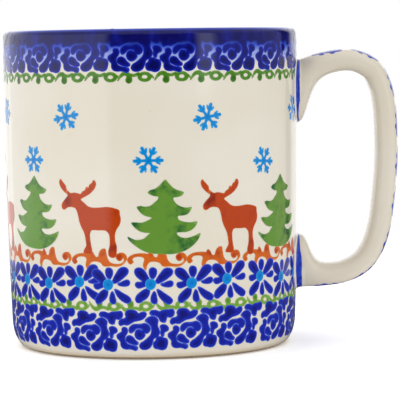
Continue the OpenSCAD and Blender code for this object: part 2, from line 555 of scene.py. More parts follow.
# %% A form for printing on
# The prints need one unbroken wall under them, which goes over the lip with no edge where the rim's
# coat begins. Its end runs on upwards, so that no point of a print can miss it.
over_lip = [(r, z) for r, z in lip(0)[1:STEPS // 2] if r > BODY_R - WALL / 2 + 0.4]
form_wall = heel(0, math.pi / 2) + outer_wall(0) + over_lip + [(over_lip[-1][0], BODY_H + 4)]
printing_form = spun("printing_form", coat(form_wall, [(r - 1, z) for r, z in form_wall]), bare_clay)

# %% [markdown]
# ## The strap handle
# The strap is cast flat-oval clay that was bent and pressed on while soft, so it swells towards both
# ends. A curve bevel keeps one thickness, and a swept profile can't swell in one direction only, so
# the rings are worked out here: the outer face follows a listed line, and the ring's depth
# grows near the wall. The first and last ring are pushed onto the round wall.

# %% The strap's rings
REACH = 29.5
STRAP_LOW, STRAP_HIGH = 16.0, BODY_H - 6.6
STRAP_W, STRAP_T = 15.0, 6.2
GRIP_EXTRA = 0.6
UPPER_JOINT, LOWER_JOINT = 18.3, 15.6
JOINT_SPREAD = 1.6
FLARE_L = 3.7
FLARE_POWER = 3.5
SLIP = 0.4
SQUARE = 2.5
OUTER_LINE = np.array([
    (0, 0.957), (0.2, 0.984), (0.44, 1), (0.63, 0.993), (0.827, 0.947), (0.938, 0.862),
    (0.985, 0.765), (1, 0.645), (0.997, 0.516), (0.967, 0.378), (0.926, 0.258), (0.84, 0.148),
    (0.702, 0.069), (0.495, 0.022), (0.246, 0.005), (0, 0)])
STRETCHES = len(OUTER_LINE) - 1


def strap_face(s):
    """Point of the outer face in the handle's plane, s from the upper joint to the lower one."""
    i = min(int(s), STRETCHES - 1)
    a, b, c, d = (OUTER_LINE[min(max(i + k, 0), STRETCHES)] for k in (-1, 0, 1, 2))
    t = s - i
    share = 0.5 * (2 * b + (c - a) * t + (2 * a - 5 * b + 4 * c - d) * t ** 2
                   + (3 * b - a - 3 * c + d) * t ** 3)
    return np.array([BODY_R + REACH * share[0], STRAP_LOW + (STRAP_HIGH - STRAP_LOW) * share[1]])


def bell(s, half):
    """1 at the wall, a half at `half` millimetres from it, and falling away to nothing."""
    return 1 / (1 + (max(0.0, strap_face(s)[0] - BODY_R) / half) ** FLARE_POWER)


def inward(s):
    """Unit vector from the outer face into the strap, upright where the strap meets the wall."""
    d = strap_face(min(s + 0.05, STRETCHES)) - strap_face(max(s - 0.05, 0))
    upright = np.array([0, -1 if s < STRETCHES / 2 else 1])
    turn = bell(s, 2 * FLARE_L)
    v = (1 - turn) * np.array([d[1], -d[0]]) / np.linalg.norm(d) + turn * upright
    return v / np.linalg.norm(v)


def depth(s):
    joint = UPPER_JOINT if s < STRETCHES / 2 else LOWER_JOINT
    grip = GRIP_EXTRA * ((strap_face(s)[0] - BODY_R) / REACH) ** 2
    return STRAP_T + grip + (joint - STRAP_T) * bell(s, FLARE_L)


def ring(s, inset, count):
    """A rounded oblong ring across the strap, in millimetres."""
    middle = strap_face(s) + inward(s) * depth(s) / 2
    points = []
    for k in range(count):
        a = 2 * math.pi * k / count
        up, side = (math.copysign(abs(c) ** (2 / SQUARE), c) for c in (math.sin(a), math.cos(a)))
        p = middle - inward(s) * (depth(s) / 2 - inset) * up
        width = (STRAP_W + JOINT_SPREAD * bell(s, FLARE_L)) / 2 - inset
        points.append((p[0], width * side, p[1]))
    return points


def seated(points, gap):
    """The ring pushed along X until it lies on the wall, `gap` outside the clay."""
    return [(math.sqrt((belly(z) - GLAZE + gap) ** 2 - y * y), y, z) for _, y, z in points]


def strap_rings(inset, count, steps):
    """Rings along the strap, twice as close on the stretches that join the wall."""
    places = [i / steps for i in range(steps, (STRETCHES - 1) * steps + 1)]
    fine = [i / (2 * steps) for i in range(1, 2 * steps)]
    places = fine + places + [STRETCHES - s for s in fine[::-1]]
    return ([seated(ring(0, inset, count), SLIP)] + [ring(s, inset, count) for s in places]
            + [seated(ring(STRETCHES, inset, count), SLIP)])


print(f"the strap is {depth(0):.1f} mm deep at the upper joint and {depth(STRETCHES / 2):.1f} in the grip")

# %% Skin the strap
def skin(name, rings, material):
    """Quads from each ring to the next, and from the last back to the first."""
    n, m = len(rings), len(rings[0])
    points = [tuple(c * MM for c in p) for r in rings for p in r]
    faces = [(i * m + k, i * m + (k + 1) % m, (i + 1) % n * m + (k + 1) % m, (i + 1) % n * m + k)
             for i in range(n) for k in range(m)]
    mesh = bpy.data.meshes.new(name)
    mesh.from_pydata(points, [], faces)
    mesh.materials.append(material)
    thing = show(name, mesh)
    print(f"{name}: {len(faces)} faces, {tidy(thing):.2f} cm3")
    return thing


AROUND = 72
ALONG = 10
STRAP_COAT = 0.25
strap_coat = skin("glazed_strap", strap_rings(0, AROUND, ALONG)
                  + strap_rings(STRAP_COAT, AROUND, ALONG)[::-1], shaded_strap_glaze)
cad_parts["handle"].data.materials.clear()
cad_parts["handle"].data.materials.append(bare_clay)

# %% [markdown]
# ## Where the handle meets the wall
# The potter smooths a bead of slip round each end of the strap and then runs a cobalt line along
# it. The bead is a hollow fillet: for each point of the strap's end, a curve leaves the wall along
# the wall and arrives at the strap along the strap. A measure, from 0 on the wall to 1 on the strap,
# tells the paint where the line runs.

# %% Fillets
FILLET_WALL = 1.1
FILLET_STRAP = 0.28
FILLET_STEPS = 8
LINE_MIDDLE = 0.63
ROOT_INSET = 0.4
BEAD_COAT = 0.05


def joint_paint(tree, place):
    """A cobalt line along the bead, nearer the strap, with cream glaze on both sides of it."""
    uneven = (noise(tree, place, 0.4, 2.0) - 0.5) * 0.35
    off_line = (attribute(tree, "across") - LINE_MIDDLE + uneven * 0.25).without_sign()
    line = blend(smooth(noise(tree, place, 0.5, 2.0), 0.3, 0.7), COBALT, WASH)
    return blend(smooth(off_line, 0.19, 0.25), line, cream_ground(tree, place))


joint_glaze = glazed("cobalt_line_glaze", joint_paint)


def fillet(name, s_wall, s_strap):
    end = np.array(seated(ring(s_wall, 0, AROUND), GLAZE))
    root = np.array(seated(ring(s_wall, ROOT_INSET, AROUND), GLAZE - STRAP_COAT))
    arrive = np.array(ring(s_strap, 0, AROUND))
    middle = end.mean(axis=0)
    flat = (end - middle) * (0, 1, 1)
    out = flat / np.linalg.norm(flat, axis=1)[:, None]
    spread = end + out * FILLET_WALL
    leave = np.array(seated(spread, GLAZE))
    rings = []
    for i in range(FILLET_STEPS + 1):
        t = i / FILLET_STEPS
        rings.append((1 - t) ** 2 * leave + 2 * t * (1 - t) * end + t ** 2 * arrive)
    rings[0] = np.array(seated(spread, GLAZE - BEAD_COAT))
    rings.append(arrive * 0.3 + end * 0.7 - out * 0.3)
    rings.append(root)
    piece = skin(name, [[tuple(p) for p in r] for r in rings], joint_glaze)
    measure = piece.data.attributes.new("across", "FLOAT", "POINT")
    levels = [min(i / FILLET_STEPS, 1.0) for i in range(len(rings))]
    measure.data.foreach_set("value", np.repeat(levels, AROUND))
    return piece


upper_joint = fillet("upper_handle_joint", 0, FILLET_STRAP)
lower_joint = fillet("lower_handle_joint", STRETCHES, STRETCHES - FILLET_STRAP)

# %% [markdown]
# ## Cutting the stamps
# A stamp is cut from foam as a flat shape. Here each one is a few outlines drawn on a
# millimetre grid, with x along the wall and z up, and rounded by a spline. Delaunay triangulation
# fills all outlines of a stamp at once, so overlapping strokes join into one shape, and the extra
# points inside let the shape bend round the wall. The stamp gets a back and sides, so that every
# print is a closed skin of paint.

# %% Outline helpers
def rounded(points, step=0.3, spread=0.0):
    """A closed smooth line through given points, sampled every `step` millimetres.

    `spread` moves it outwards, as paint spreads past the edge of a stamp.
    """
    p = np.array(points, float)
    line = []
    for i in range(len(p)):
        a, b, c, d = (p[(i + k) % len(p)] for k in (-1, 0, 1, 2))
        ta, tc, td = (max(np.linalg.norm(v), 1e-3) ** 0.5 for v in (b - a, c - b, d - c))
        m1 = tc * ((b - a) / ta - (c - a) / (ta + tc) + (c - b) / tc)
        m2 = tc * ((c - b) / tc - (d - b) / (tc + td) + (d - c) / td)
        count = max(2, int(np.linalg.norm(c - b) / step))
        for t in np.arange(count) / count:
            line.append((2 * t ** 3 - 3 * t ** 2 + 1) * b + (t ** 3 - 2 * t ** 2 + t) * m1
                        + (3 * t ** 2 - 2 * t ** 3) * c + (t ** 3 - t ** 2) * m2)
    line = np.array(line)
    along = np.roll(line, -1, axis=0) - np.roll(line, 1, axis=0)
    out = np.stack([along[:, 1], -along[:, 0]], 1) / np.linalg.norm(along, axis=1)[:, None]
    around = (line[:, 0] * np.roll(line[:, 1], -1) - line[:, 1] * np.roll(line[:, 0], -1)).sum()
    return line + out * spread * math.copysign(1, around)


def stroke(path, step=0.3):
    """The outline of a brush stroke through points of (x, z, width), with round ends."""
    p = np.array(path, float)
    p = np.vstack([2 * p[0] - p[1], p, 2 * p[-1] - p[-2]])
    line = []
    for i in range(1, len(p) - 2):
        a, b, c, d = p[i - 1:i + 3]
        count = max(2, int(np.linalg.norm((c - b)[:2]) / step))
        for t in np.arange(count + (i == len(p) - 3)) / count:
            line.append(0.5 * (2 * b + (c - a) * t + (2 * a - 5 * b + 4 * c - d) * t ** 2
                               + (3 * b - a - 3 * c + d) * t ** 3))
    line = np.array(line)
    along = np.gradient(line[:, :2], axis=0)
    along /= np.linalg.norm(along, axis=1)[:, None]
    side = np.stack([-along[:, 1], along[:, 0]], 1) * np.maximum(line[:, 2:], 0.1) / 2

    def cap(i, sign):
        turn = [math.pi * k / 6 for k in range(1, 6)]
        return [line[i, :2] + sign * (side[i] * math.cos(a)
                                      + along[i] * math.sin(a) * np.linalg.norm(side[i]))
                for a in turn]

    return np.vstack([line[:, :2] + side, cap(-1, 1), (line[:, :2] - side)[::-1], cap(0, -1)])


def oval(x, z, width, height, count=24):
    turn = np.linspace(0, 2 * math.pi, count, endpoint=False)
    return np.stack([x + width / 2 * np.cos(turn), z + height / 2 * np.sin(turn)], 1)


print("a rounded square of 4 mm has", len(rounded([(-2, -2), (2, -2), (2, 2), (-2, 2)])), "points")


# %% Filling the outlines
def winding(points, outline):
    """How many times an outline goes round each point: not 0 means inside."""
    a, b = outline, np.roll(outline, -1, axis=0)
    x, z = points[:, :1], points[:, 1:]
    left = (b[:, 0] - a[:, 0]) * (z - a[:, 1]) - (x - a[:, 0]) * (b[:, 1] - a[:, 1])
    up = (a[:, 1] <= z) & (b[:, 1] > z) & (left > 0)
    down = (a[:, 1] > z) & (b[:, 1] <= z) & (left < 0)
    return up.sum(1) - down.sum(1)


def inside(points, outlines, holes):
    covered = np.any([winding(points, o) != 0 for o in outlines], axis=0)
    return covered & ~np.any([winding(points, h) != 0 for h in holes] or
                             [np.zeros(len(points), bool)], axis=0)


def edge_distance(points, a, b):
    """Distance from each point to the nearest of the segments a-b."""
    d = b - a
    share = np.einsum("pij,ij->pi", points[:, None] - a, d) / np.maximum((d * d).sum(1), 1e-12)
    foot_point = a + np.clip(share, 0, 1)[..., None] * d
    return np.linalg.norm(points[:, None] - foot_point, axis=2).min(1)


PAINT_SKIN = 0.08


def stamp(name, outlines, holes=(), grain=0.8, pools=()):
    """Cut one flat stamp. pools are (x, z, radius, strength) of thicker or darker paint."""
    drawn = list(outlines) + list(holes)
    points, edges = [], []
    for line in drawn:
        first = len(points)
        points += [tuple(p) for p in line]
        edges += [(first + i, first + (i + 1) % len(line)) for i in range(len(line))]
    low, high = np.min(points, axis=0), np.max(points, axis=0)
    xs, zs = np.meshgrid(np.arange(low[0], high[0], grain), np.arange(low[1], high[1], grain * 0.87))
    xs[1::2] += grain / 2
    inner = np.stack([xs.ravel(), zs.ravel()], 1)
    inner = inner[inside(inner, outlines, holes)]
    starts = np.vstack(drawn)
    stops = np.vstack([np.roll(line, -1, axis=0) for line in drawn])
    inner = inner[edge_distance(inner, starts, stops) > grain * 0.35] if len(inner) else inner
    points += [tuple(p) for p in inner]
    verts, _, faces, *_ = delaunay_2d_cdt([Vector(p) for p in points], edges, [], 0, 1e-4)
    flat = np.array([tuple(v) for v in verts])
    faces = np.array(faces)
    faces = faces[inside(flat[faces].mean(1), outlines, holes)]
    used, faces = np.unique(faces, return_inverse=True)
    flat, faces = flat[used], faces.reshape(-1, 3)
    area = np.cross(flat[faces[:, 1]] - flat[faces[:, 0]], flat[faces[:, 2]] - flat[faces[:, 0]])
    faces[area < 0] = faces[area < 0][:, ::-1]
    sides = {}
    for f in faces.tolist():
        for i in range(3):
            pair = (f[i], f[(i + 1) % 3])
            if pair[::-1] in sides:
                del sides[pair[::-1]]
            else:
                sides[pair] = True
    rim = np.array(list(sides))
    distance = edge_distance(flat, flat[rim[:, 0]], flat[rim[:, 1]])
    pool = np.zeros(len(flat))
    for x, z, r, strength in pools:
        pool += strength * np.exp(-((flat - (x, z)) ** 2).sum(1) / r ** 2)
    n = len(flat)
    front = [(x * MM, 0.0, z * MM) for x, z in flat]
    back = [(x, PAINT_SKIN * MM, z) for x, _, z in front]
    mesh = bpy.data.meshes.new(name)
    mesh.from_pydata(front + back, [], faces.tolist() + (faces[:, ::-1] + n).tolist()
                     + [(b, a, a + n, b + n) for a, b in rim.tolist()])
    for label, values in (("edge_mm", distance), ("pool", pool)):
        store = mesh.attributes.new(label, "FLOAT", "POINT")
        store.data.foreach_set("value", np.tile(values, 2))
    print(f"stamp {name}: {len(mesh.polygons)} faces, {len(rim)} edge points")
    return show(name, mesh)


# %% [markdown]
# ## Printing a stamp round the wall
# The wall is unrolled into a flat strip: x is the length of arc at the widest part, z the height.
# The tree puts the stamp on each marked place, makes the copies real, and rolls the strip up: each
# point is shot at the wall from outside and lands a few hundredths of a millimetre proud of the
# glaze, so the paint follows belly and heel by itself. The wall's own normals come along, so light
# runs over paint and glaze as over one skin.

# %% The printing tree
SHOT, STRAP_SHOT = 60 * MM, 8 * MM
TONE_LIFT = 0.015
# How far a print stands proud of the glaze: where two kinds cross, they differ.
LINE_LIFT, ROSE_LIFT, DAISY_LIFT, DEER_LIFT, CENTRE_LIFT = 0.03, 0.045, 0.05, 0.055, 0.065


def copies_of_stamp(tree, given):
    """Stamp copies on the marked places, each with a turn, a size and a tone of its own."""
    motif = add(tree, "GeometryNodeObjectInfo", None, {"Object": given["Stamp"]}, "Geometry")

    def marked(name):
        return add(tree, "GeometryNodeInputNamedAttribute", {"data_type": "FLOAT"}, {"Name": name})

    sway = add(tree, "FunctionNodeRandomValue", {"data_type": "FLOAT"},
               {2: Value(given["Sway"]) * -1.0, 3: given["Sway"], "Seed": given["Seed"]}, 1)
    size = marked("size")
    put = add(tree, "GeometryNodeInstanceOnPoints", None, {
        "Points": given["Geometry"], "Instance": motif,
        "Rotation": joined(tree, 0.0, marked("turn") + sway, 0.0),
        "Scale": joined(tree, size, size, size)})
    tone = add(tree, "FunctionNodeRandomValue", {"data_type": "FLOAT"},
               {2: 0.0, 3: 1.0, "Seed": Value(given["Seed"]) + 7}, 1)
    toned = add(tree, "GeometryNodeStoreNamedAttribute", {"data_type": "FLOAT", "domain": "INSTANCE"},
                {"Geometry": put, "Name": "tone", "Value": tone})
    return add(tree, "GeometryNodeRealizeInstances", None, {"Geometry": toned})


def laid_on(tree, given, copies, source, direction, out):
    """Shoot every point at the surface and lay it `Lift` above where it lands.

    The tone lifts each print by a hair more or less, so two that overlap don't share one surface.
    """
    surface = add(tree, "GeometryNodeObjectInfo", None, {"Object": given["Surface"]}, "Geometry")
    ray = tree.nodes.new("GeometryNodeRaycast")
    ray.data_type = "FLOAT_VECTOR"
    ray.mapping = "INTERPOLATED"
    for socket, value in (("Target Geometry", surface), ("Source Position", source),
                          ("Ray Direction", direction), ("Ray Length", SHOT),
                          ("Attribute", add(tree, "GeometryNodeInputNormal"))):
        plug(tree, value, ray.inputs[socket])
    normal = Value(ray.outputs["Attribute"])
    tone = add(tree, "GeometryNodeInputNamedAttribute", {"data_type": "FLOAT"}, {"Name": "tone"})
    rise = add(tree, "ShaderNodeVectorMath", {"operation": "SCALE"},
               {0: normal, "Scale": tone * (TONE_LIFT * MM) + given["Lift"] - out})
    landed = vector_sum("ADD", Value(ray.outputs["Hit Position"]), rise)
    kept = add(tree, "GeometryNodeStoreNamedAttribute",
               {"data_type": "FLOAT_VECTOR", "domain": "POINT"},
               {"Geometry": copies, "Name": "glaze_normal", "Value": normal})
    moved = add(tree, "GeometryNodeSetPosition", None, {"Geometry": kept, "Position": landed})
    return add(tree, "GeometryNodeSetMaterial", None,
               {"Geometry": moved, "Material": given["Material"]})


PRINT_INPUTS = [("Geometry", "NodeSocketGeometry"), ("Stamp", "NodeSocketObject"),
                ("Surface", "NodeSocketObject"), ("Path", "NodeSocketObject"),
                ("Radius", "NodeSocketFloat"), ("Lift", "NodeSocketFloat"),
                ("Sway", "NodeSocketFloat"), ("Seed", "NodeSocketInt"),
                ("Material", "NodeSocketMaterial")]
wall_print, given, made = tree_with("Print round the wall", PRINT_INPUTS)
copies = copies_of_stamp(wall_print, given)
along, out, up = split(wall_print, add(wall_print, "GeometryNodeInputPosition"))
angle = along / given["Radius"]
plug(wall_print, laid_on(wall_print, given, copies,
                         joined(wall_print, angle.sin() * SHOT, angle.cos() * -SHOT, up),
                         joined(wall_print, -angle.sin(), angle.cos(), 0.0), out), made)
print("printing tree has", len(wall_print.nodes), "nodes")


# %% Marking the places
def round_wall(count, first, height, nudges=None):
    """Evenly marked places right round the wall. nudges move single ones, as a hand does."""
    pitch = TURN / count
    places = []
    for i in range(count):
        dx, dz = (nudges or {}).get(i, (0.0, 0.0))
        places.append((first + i * pitch + dx, height + dz, 0.0, 1.0))
    return places


def printed(name, tree, motif, places, material, lift, seed=1, sway=0.0, surface=None, path=None):
    """Print a stamp on marked places of (x, z, turn in degrees, size)."""
    mesh = bpy.data.meshes.new(name + "_places")
    mesh.from_pydata([(x * MM, 0.0, z * MM) for x, z, _, _ in places], [], [])
    for label, values in (("turn", [math.radians(p[2]) for p in places]),
                          ("size", [p[3] for p in places])):
        store = mesh.attributes.new(label, "FLOAT", "POINT")
        store.data.foreach_set("value", values)
    piece = run_tree(tree, show(name + "_places", mesh), name, Stamp=motif,
                     Surface=surface or printing_form, Path=path, Radius=BODY_R * MM, Lift=lift * MM,
                     Sway=math.radians(sway), Seed=seed, Material=material)
    mesh = piece.data
    mesh.shade_smooth()
    normals = np.empty(len(mesh.vertices) * 3, np.float32)
    mesh.attributes["glaze_normal"].data.foreach_get("vector", normals)
    mesh.attributes.remove(mesh.attributes["glaze_normal"])
    outwards(mesh)
    mesh.normals_split_custom_set_from_vertices(normals.reshape(-1, 3).tolist())
    print(f"{name}: {len(places)} prints, {len(mesh.polygons)} faces")
    return piece


print(f"one turn of the wall is {TURN:.1f} mm long")

# %% [markdown]
# ## Paint under the glaze
# One recipe serves every colour: thin at the outline, full within, deep where it pooled, with a slow
# cloudiness and a little difference from print to print. The cobalt under the rim gets the navy wash on
# top, because the wet brush ran over the upper stamps too.

# %% Paint materials
def paint(name, thin, full, deep, rim=0.3, pooled=(0.6, 1.6), cloudy=0.5, washed=False):
    """A glazed paint: thin over the outer `rim` millimetres, deep where it pooled."""
    def colour(tree, place):
        edge = attribute(tree, "edge_mm")
        cloud = noise(tree, place, 0.45, 3.0)
        tone = attribute(tree, "tone")
        ragged = edge + (noise(tree, place, 1.3, 2.0) - 0.5) * 0.25
        body = blend(smooth(ragged, 0.02, rim), thin, full)
        dark = (smooth(edge, *pooled) * 0.75 + (cloud - 0.5) * cloudy + (tone - 0.5) * 0.2
                + attribute(tree, "pool"))
        mixed = blend(smooth(dark, 0.0, 1.0), body, deep)
        if not washed:
            return mixed
        drowned = smooth(brushed_height(tree, place), 87.0, 89.4)
        return blend(drowned, mixed, rim_navy(tree, place))
    return glazed(name, colour)


cobalt_paint = paint("cobalt_stamp_paint", COBALT_THIN, COBALT, srgb(14, 18, 108), 0.38, (0.5, 1.4),
                     0.8)
upper_cobalt = paint("cobalt_stamp_paint_washed", srgb(34, 58, 184), srgb(10, 18, 122),
                     srgb(4, 6, 82), 0.38, (0.4, 1.2), 0.8, washed=True)
sky_paint = paint("sky_blue_paint", srgb(56, 156, 212), srgb(6, 128, 200), srgb(4, 104, 186),
                  0.25, (0.5, 1.2))
tree_paint = paint("fir_green_paint", srgb(118, 156, 80), srgb(94, 138, 50), srgb(26, 88, 48),
                   0.25, (8.0, 9.0), 2.2)
line_paint = paint("leaf_green_paint", srgb(106, 146, 70), srgb(70, 122, 32), srgb(38, 88, 22),
                   0.3, (0.6, 1.1), 1.1)
wisp_paint = paint("leaf_green_thin_paint", srgb(136, 170, 92), srgb(108, 154, 60),
                   srgb(70, 124, 36), 0.3, (0.6, 1.1), 1.1)
deer_paint = paint("rust_stamp_paint", srgb(198, 96, 36), srgb(174, 60, 12), srgb(118, 26, 20),
                   0.25, (8.0, 9.0), 1.5)
scroll_paint = paint("amber_brush_paint", srgb(206, 126, 66), srgb(198, 94, 28),
                     srgb(160, 46, 12), 0.25, (3.0, 4.0), 1.5)
print("paints:", [m.name for m in bpy.data.materials if "paint" in m.name])

# %% [markdown]
# ## The rose stamp
# The bands at the foot and under the rim are one stamp printed eighteen times. It is a rose: a bud,
# petals curling round it, a small lobed blossom at its side, and leaves above. Thin cream gaps part
# the petals, which is what makes it read as a rose. Under the rim the wet brush ran into the gaps,
# so there they are pale blue, and the tops of the petals drown in navy on the lip.

# %% Rose outlines
ROSE_BUD = [(-1.3, 0.1), (-0.9, 1.2), (0.1, 1.5), (0.9, 0.9), (1.6, 0), (0.9, -1), (0, -1.35),
            (-0.9, -0.9)]
ROSE_ARCH = [(-2.8, 0.7), (-2.9, 1.9), (-1.9, 2.8), (0.5, 3), (1.6, 3.2), (2.7, 2.6), (3.1, 1.7),
             (2.7, 0.8), (1.9, 0.45), (1.3, 0.95), (0.6, 1.75), (-0.2, 1.95), (-1, 1.7),
             (-1.8, 0.9), (-2.4, 0.5)]
ROSE_BEAN = [(-3.9, -1.2), (-3.6, -0.5), (-2.8, -0.25), (-1.9, -0.7), (-1.2, -1.6), (-0.45, -2.2),
             (-0.55, -2.7), (-1.65, -2.75), (-3, -2.35), (-3.8, -1.8)]
ROSE_CRADLE = [(-4.6, 2.1), (-3.7, 1.85), (-3.4, 1.05), (-3.8, 0.15), (-4.2, -0.5), (-4.3, -1.45),
               (-3.9, -2.35), (-2.8, -2.95), (-1.4, -3.2), (-0.75, -3.4), (-0.7, -4.05),
               (-1.3, -4.5), (-2.1, -4.2), (-3, -4.05), (-4.2, -4.1), (-5.2, -3.7), (-5.55, -2.9),
               (-5.5, -2.1), (-6, -1.45), (-6.5, -0.9), (-6.5, -0.1), (-5.75, 0.4), (-5.05, 0.9),
               (-5.1, 1.65)]
ROSE_SWEEP = [(1.65, 4), (2.3, 4.7), (3.35, 5.15), (4.7, 4.9), (5.35, 4.1), (5.15, 3.1),
              (5.25, 2.2), (5.6, 1.5), (5.75, 0.6), (5.4, -0.2), (4.6, -0.75), (4, -1.2),
              (3.7, -2.1), (3.25, -3.25), (2.45, -3.95), (1.3, -4.2), (0.4, -3.95), (-0.05, -3.15),
              (0.4, -2.35), (1.3, -1.8), (2.45, -0.85), (3.25, 0.05), (3.5, 0.95), (3.45, 2.2),
              (2.85, 3.1), (2.2, 3.55)]
ROSE_HOOK = [(5.95, 2.4), (6.5, 2.8), (7.65, 2.65), (8.3, 1.95), (8.2, 1.3), (7.55, 0.95),
             (7.1, 0.6), (7, -0.1), (6.65, -0.5), (6.25, -0.1), (6.1, 0.7), (6.2, 1.5)]
ROSE_BLOSSOM = [(4, -3), (4.15, -2.1), (4.7, -1.65), (4.95, -0.9), (5.85, -0.5), (6.75, -0.85),
                (7.8, -1.2), (8.1, -2.1), (7.9, -3.25), (7.55, -3.95), (6.55, -4.3), (5.5, -4.05),
                (4.35, -3.8)]
ROSE_WING = [(-5.85, 2.9), (-5.95, 3.55), (-5.4, 4.25), (-4.15, 4.6), (-3.8, 5.15), (-4.05, 5.85),
             (-3.45, 6.75), (-2.1, 6.95), (-0.95, 6.65), (-0.2, 5.95), (0.6, 6.3), (1.5, 6.4),
             (2, 5.95), (1.75, 5.15), (0.85, 4.4), (-0.3, 4.05), (-1.45, 3.8), (-2.55, 3.2),
             (-3.45, 2.75), (-4.6, 2.9), (-5.4, 2.55)]
ROSE_TREFOIL = [(3, 6.05), (3.45, 6.75), (4.7, 6.85), (5.85, 6.5), (6.75, 6.85), (8.35, 7),
                (9.6, 7.1), (10, 6.3), (9.7, 5.4), (8.8, 4.9), (8, 5.05), (7.65, 4.25),
                (7.45, 3.6), (6.65, 3.55), (5.95, 4), (5.6, 4.8), (4.5, 5.5), (3.45, 5.6)]
ROSE_POOLS = [(0, 0, 0.9, 0.2), (-5.2, -2.6, 1.2, 0.25), (-3.2, -1.3, 1, 0.3), (1.6, -3.1, 1, 0.2),
              (6.4, -2.4, 1.4, 0.2), (6.6, 1.6, 0.9, 0.3), (-2.6, 5.4, 1.5, 0.3),
              (4.9, 6.1, 1.1, 0.15), (7, 4.6, 1.1, 0.2), (-4.8, 3.3, 0.9, 0.25)]
ROSE = (ROSE_BUD, ROSE_ARCH, ROSE_BEAN, ROSE_CRADLE, ROSE_SWEEP, ROSE_HOOK, ROSE_BLOSSOM, ROSE_WING,
        ROSE_TREFOIL)
rose = stamp("rose_stamp", [rounded(line, spread=0.2) for line in ROSE], pools=ROSE_POOLS)

# %% Rose bands
ROSES = 18
lower_roses = printed("lower_rose_band", wall_print, rose, round_wall(
    ROSES, -33.2, 7.4, {1: (0, -0.5), 2: (-0.2, 0), 3: (-0.4, 0.2), 4: (-0.8, 0.2), 5: (0, 0.1)}),
    cobalt_paint, ROSE_LIFT, seed=3, sway=0.8)
upper_roses = printed("upper_rose_band", wall_print, rose, round_wall(
    ROSES, -33.9, 84.9, {1: (-0.2, 0.2), 2: (-0.4, 0), 3: (-0.9, 0), 4: (-1.2, 0), 5: (-0.9, 0)}),
    upper_cobalt, ROSE_LIFT, seed=4, sway=0.8)

# %% [markdown]
# ## The brushed green lines
# Above the lower roses and below the upper ones runs a green line brushed freehand: a hook that ends
# in a fat drop, and then a small ring, again and again. The lower line is the same hand movement
# upside down with a drier brush, so its stamp is the mirror image.

# %% Green lines
def green_line(flip):
    turned = (1, flip)
    strokes = [stroke([(-7.5, -1, 0.4), (-6.7, 0.2, 0.9), (-5.7, 0.9, 1.2), (-4.7, 0.7, 1.4),
                       (-4.3, -0.2, 1.7), (-4.4, -0.9, 2)]),
               stroke([(-4.9, 0.7, 0.9), (-3.8, 0.5, 0.9), (-2.9, 0.4, 0.9), (-1.7, 0.8, 1)]),
               stroke([(1.3, 0.5, 0.8), (1.9, 0.2, 0.8), (2.5, -0.4, 0.4)]),
               oval(0, 0, 4, 2.9)]
    return [line * turned for line in strokes], [oval(0, 0, 1.5, 1, 16) * turned]


LINE_POOLS = [(-4.4, -0.8, 1, 0.8), (-5.6, 0.9, 0.7, 0.2), (-1.4, 0.5, 0.7, 0.3), (1.4, -0.6, 0.7, 0.3)]
drop_down = stamp("green_line_down", *green_line(1), grain=0.6, pools=LINE_POOLS)
drop_up = stamp("green_line_up", *green_line(-1), grain=0.6,
                pools=[(x, -z, r, s) for x, z, r, s in LINE_POOLS])
upper_line = printed("upper_green_line", wall_print, drop_down, round_wall(
    27, -40.4, 79.15, {0: (0.2, 0), 1: (0.3, -0.1), 2: (0.2, 0), 3: (0.1, 0), 4: (-0.3, 0)}),
    line_paint, LINE_LIFT, seed=5, sway=2.0)
lower_line = printed("lower_green_line", wall_print, drop_up, round_wall(
    28, -40, 15.3, {2: (0.1, 0), 3: (0.4, 0.1), 4: (0, 0.1), 5: (0.7, 0.3), 6: (0.4, 0), 8: (0.3, 0)}),
    wisp_paint, LINE_LIFT, seed=6, sway=2.0)

# %% [markdown]
# ## Daisies
# Each daisy has four long petals on the diagonals and four short ones between, all cut into one
# sponge and no two alike. The sky-blue centre is dabbed on last, a little off the middle.

# %% Daisy band
DAISY_PETALS = [
    [(-0.4, 4.1), (0, 4.6), (0.7, 4.7), (1.4, 4.3), (1.6, 3.5), (1.3, 2.4), (0.5, 1.5), (0.05, 1.9),
     (-0.4, 2.9)],
    [(1.4, 0.7), (2, 2.1), (2.8, 3.3), (3.6, 4.3), (4.4, 4.7), (5.5, 4.6), (6.1, 4), (6, 3.1),
     (5.2, 2.3), (4.2, 1.5), (3, 0.8), (2, 0.4)],
    [(2.9, 0.2), (4, 0.6), (5.2, 1.1), (6, 1.1), (6.4, 0.5), (6.1, -0.2), (5.2, -0.5), (4, -0.4),
     (3.3, -0.2)],
    [(1.9, -1.3), (2.8, -1.6), (4, -2.4), (5.2, -3.1), (6.1, -3.8), (6.4, -4.4), (5.8, -5.2),
     (5, -5.2), (3.8, -4.5), (2.8, -3.5), (2.2, -2.4)],
    [(1.1, -1.9), (1.6, -2.6), (1.8, -3.5), (2, -4.5), (1.8, -5.2), (1, -5.3), (0.4, -4.8),
     (0.3, -3.7), (0.7, -2.5)],
    [(-1.2, -1.3), (-0.3, -1.3), (-0.2, -2.1), (-0.6, -3.3), (-1.2, -4), (-2.2, -4.7), (-3, -5.2),
     (-3.7, -5.1), (-4.1, -4.4), (-3.8, -3.3), (-2.8, -2.3), (-2, -1.7)],
    [(-1.3, 0.7), (-1.2, -0.3), (-2.2, -0.8), (-3.2, -1.1), (-3.9, -0.9), (-4.3, -0.2), (-4, 0.4),
     (-3, 0.5), (-2, 0.7)],
    [(-0.3, 1), (-1, 2.5), (-1.8, 3.7), (-2.6, 4.3), (-3.6, 4.5), (-4.4, 4.1), (-4.6, 3.3),
     (-4.2, 2.4), (-3.2, 1.5), (-2, 0.8), (-1, 0.7)]]
